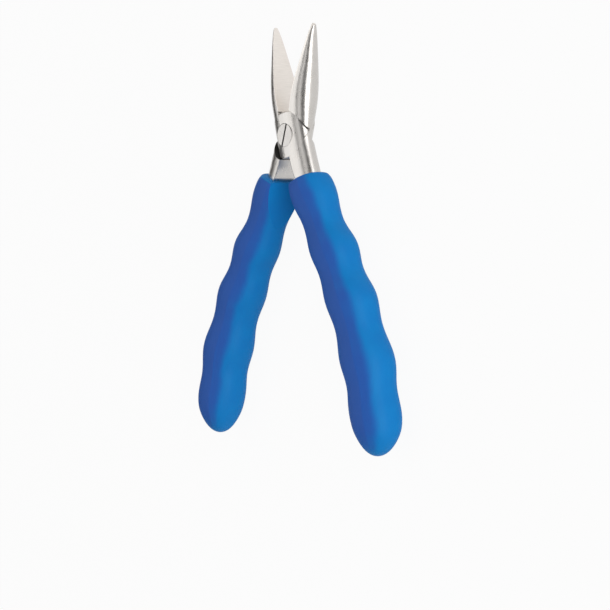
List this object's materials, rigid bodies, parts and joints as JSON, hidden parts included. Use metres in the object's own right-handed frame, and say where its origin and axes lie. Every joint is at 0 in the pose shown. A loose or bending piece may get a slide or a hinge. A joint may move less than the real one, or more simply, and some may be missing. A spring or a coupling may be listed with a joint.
{
  "type": "needle nose pliers",
  "caption": "Lap-joint pliers with long tapering smooth jaws, a slotted pivot screw and ripple-shaped blue sleeve grips.",
  "frame": {"origin": "under the middle of the whole tool, on the plane it lies on", "axes": "+Y along the tool towards the jaw tips, +Z along the pivot axis, out of the screw head"},
  "size_m": [0.1066, 0.143, 0.0161],
  "materials": {
    "lever_steel": "satin ground stainless steel",
    "screw_steel": "satin turned steel",
    "grip_blue": "satin blue moulded sleeve"
  },
  "bodies": {
    "rear": {"rear_lever": "lever_steel", "pivot_screw": "screw_steel", "grip_left": "grip_blue"},
    "front": {"front_lever": "lever_steel", "grip_right": "grip_blue"}
  },
  "joints": [
    {"name": "pivot", "type": "hinge", "parent": "rear", "child": "front", "pos_m": [0, 0.0341, 0.00803], "axis": [0, 0, 1], "range_deg": [-31.9, 10]}
  ]
}
